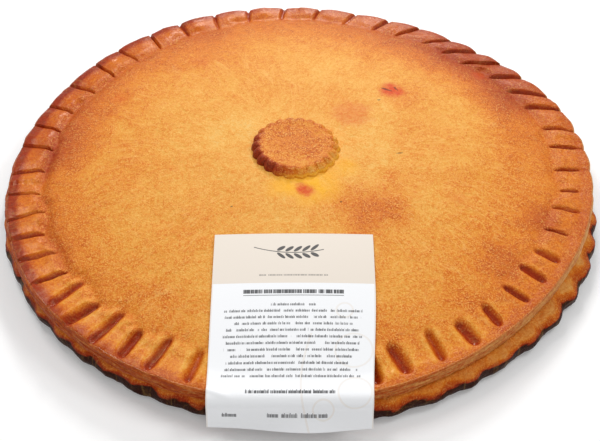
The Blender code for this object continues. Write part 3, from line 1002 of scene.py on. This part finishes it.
    band = below(down, 31.4 * MM)
    edges = nodes.math("MULTIPLY", nodes.spread(aside, width / 2 - 0.9 * MM, width / 2 - 0.5 * MM), 0.6)
    paper = nodes.mix(edges, colours.paper, colours.band)
    paper = nodes.mix(faint, paper, colours.band)
    paper = nodes.mix(band, paper, colours.band)
    ink = nodes.math("MULTIPLY", nodes.math("MAXIMUM", listed, foot), 0.78)
    for mark in (title, rule, bold, grains, stem, nodes.math("MULTIPLY", tag, 0.6)):
        ink = nodes.math("MAXIMUM", ink, nodes.math("MULTIPLY", mark, 0.93))
    colour = nodes.mix(ink, paper, colours.ink)
    fibres = nodes.noise(sheet, 1.2 * MM, 3, 0.6)
    roughness = nodes.total(0.5, nodes.math("MULTIPLY_ADD", fibres, 0.12, -0.06))
    relief = nodes.bump(fibres, 0.05 * MM, 0.4)
    return nodes.finish(Base_Color=colour, Roughness=roughness, Normal=relief)


# ---------------------------------------------------------------- the stage


# Each lamp: its side, in metres, its power, in watts, and where it stands, turned to the middle.
SOFTBOXES = (
    ("left_softbox", 0.40, 4.6, (-0.45, 0.5, 1.1)),
    ("back_softbox", 0.25, 8.0, (0.1, 1.2, 0.85)),
    ("right_softbox", 0.30, 2.6, (0.75, 0.15, 0.95)),
    ("front_softbox", 0.90, 2.6, (0.2, -1.3, 0.9)),
)
FLOOR_SIZE = 6.0
FLOOR_WHITE = 0.93
FLOOR_GLOW = 0.12  # keeps the floor near white to the eye, and leaves its shadow
WORLD_LIGHT = 0.43  # what the white surroundings shine with; they look fully white
CAMERA_PLACE = (0.0006, -0.5074, 0.4577)
CAMERA_TILT = 46.77  # degrees up from straight down
CAMERA_LENS = 72.7


def stage():
    """Adds the white floor and surroundings, the softboxes and the camera."""
    scene = bpy.context.scene
    deselect_all()
    bpy.ops.mesh.primitive_plane_add(size=FLOOR_SIZE, location=(0, 0, 0))
    floor = bpy.context.object
    floor.name = "floor"
    nodes = Nodes("white_floor")
    floor.data.materials.append(nodes.finish(Base_Color=(FLOOR_WHITE,) * 3, Roughness=0.7))
    glow = nodes.add("ShaderNodeEmission")
    glow.inputs["Color"].default_value = (1, 1, 1, 1)
    rays = nodes.add("ShaderNodeLightPath")
    seen = nodes.math("MULTIPLY", rays.outputs["Is Camera Ray"], FLOOR_GLOW)
    nodes.feed(glow.inputs["Strength"], seen)
    both = nodes.add("ShaderNodeAddShader")
    nodes.feed(both.inputs[0], nodes.shader.outputs[0])
    nodes.feed(both.inputs[1], glow.outputs[0])
    output = nodes.tree.nodes["Material Output"]
    nodes.feed(output.inputs["Surface"], both.outputs[0])

    world = bpy.data.worlds.new("studio")
    scene.world = world
    world.use_nodes = True
    tree = world.node_tree
    background = tree.nodes["Background"]
    path = tree.nodes.new("ShaderNodeLightPath")
    shown = tree.nodes.new("ShaderNodeMath")
    shown.operation = "MAXIMUM"
    tree.links.new(path.outputs["Is Camera Ray"], shown.inputs[0])
    tree.links.new(path.outputs["Is Transmission Ray"], shown.inputs[1])
    level = tree.nodes.new("ShaderNodeMapRange")
    level.inputs["To Min"].default_value = WORLD_LIGHT
    level.inputs["To Max"].default_value = 1.0
    tree.links.new(shown.outputs[0], level.inputs["Value"])
    tree.links.new(level.outputs[0], background.inputs["Strength"])
    background.inputs["Color"].default_value = (1, 1, 1, 1)

    for name, size, power, place in SOFTBOXES:
        bpy.ops.object.light_add(type="AREA", location=place)
        lamp = bpy.context.object
        lamp.name = name
        lamp.data.shape = "SQUARE"
        lamp.data.size = size
        lamp.data.energy = power
        lamp.rotation_euler = (-Vector(place)).to_track_quat("-Z", "Y").to_euler()

    bpy.ops.object.camera_add(location=CAMERA_PLACE, rotation=(math.radians(CAMERA_TILT), 0, 0))
    camera = bpy.context.object
    camera.data.lens = CAMERA_LENS
    camera.data.sensor_width = 36.0
    scene.camera = camera
    scene.view_settings.view_transform = "Standard"


# ---------------------------------------------------------------- operators and panel


class EMPANADA_OT_bottom_dough(bpy.types.Operator):
    """Models the bottom dough with its rounded, lobed lip"""

    bl_idname = "empanada.bottom_dough"
    bl_label = "Bottom Dough"

    def execute(self, context):
        colours = context.scene.empanada_colours
        piece = bottom_dough(context.scene.empanada_sizes)
        settle(piece, "crust_base", baked_dough("baked_base", colours, grain=0.7, shine=0.12))
        return {"FINISHED"}


class EMPANADA_OT_top_dough(bpy.types.Operator):
    """Models the domed top dough and presses its rim"""

    bl_idname = "empanada.top_dough"
    bl_label = "Top Dough"

    def execute(self, context):
        colours = context.scene.empanada_colours
        piece = top_dough(context.scene.empanada_sizes)
        settle(piece, "crust_lid", baked_dough("baked_top", colours, leaks=LEAKS, cracks=CRACKS))
        return {"FINISHED"}


class EMPANADA_OT_disc(bpy.types.Operator):
    """Models the fluted disc of dough in the middle"""

    bl_idname = "empanada.disc"
    bl_label = "Fluted Disc"

    def execute(self, context):
        colours = context.scene.empanada_colours
        piece = fluted_disc(context.scene.empanada_sizes)
        settle(piece, "centre_disc", baked_dough("baked_disc", colours, grain=1.4))
        return {"FINISHED"}


class EMPANADA_OT_label(bpy.types.Operator):
    """Models the paper label that bends over the rim"""

    bl_idname = "empanada.label"
    bl_label = "Paper Label"

    def execute(self, context):
        colours = context.scene.empanada_colours
        piece = paper_label(context.scene.empanada_sizes)
        settle(piece, "label", printed_paper(colours, LABEL_HIGH.x - LABEL_LOW.x, PRINT_LENGTH))
        return {"FINISHED"}


class EMPANADA_OT_stage(bpy.types.Operator):
    """Adds the floor, the soft lights and the camera"""

    bl_idname = "empanada.stage"
    bl_label = "Stage"

    def execute(self, context):
        stage()
        return {"FINISHED"}


class EMPANADA_PT_panel(bpy.types.Panel):
    """Lists the empanada's pieces, sizes and colours"""

    bl_label = "Round Empanada"
    bl_idname = "EMPANADA_PT_panel"
    bl_space_type = "VIEW_3D"
    bl_region_type = "UI"
    bl_category = "Empanada"

    def draw(self, context):
        for operator in OPERATORS:
            self.layout.operator(operator.bl_idname)
        for group in (context.scene.empanada_sizes, context.scene.empanada_colours):
            box = self.layout.box()
            for name in group.__annotations__:
                box.prop(group, name)


OPERATORS = (
    EMPANADA_OT_bottom_dough,
    EMPANADA_OT_top_dough,
    EMPANADA_OT_disc,
    EMPANADA_OT_label,
    EMPANADA_OT_stage,
)
CLASSES = (EmpanadaSizes, EmpanadaColours, *OPERATORS, EMPANADA_PT_panel)


def register():
    for item in CLASSES:
        bpy.utils.register_class(item)
    bpy.types.Scene.empanada_sizes = bpy.props.PointerProperty(type=EmpanadaSizes)
    bpy.types.Scene.empanada_colours = bpy.props.PointerProperty(type=EmpanadaColours)


def unregister():
    del bpy.types.Scene.empanada_colours
    del bpy.types.Scene.empanada_sizes
    for item in reversed(CLASSES):
        bpy.utils.unregister_class(item)


def main():
    register()
    bpy.ops.empanada.bottom_dough()
    bpy.ops.empanada.top_dough()
    bpy.ops.empanada.disc()
    bpy.ops.empanada.label()
    bpy.ops.empanada.stage()


if __name__ == "__main__":
    main()
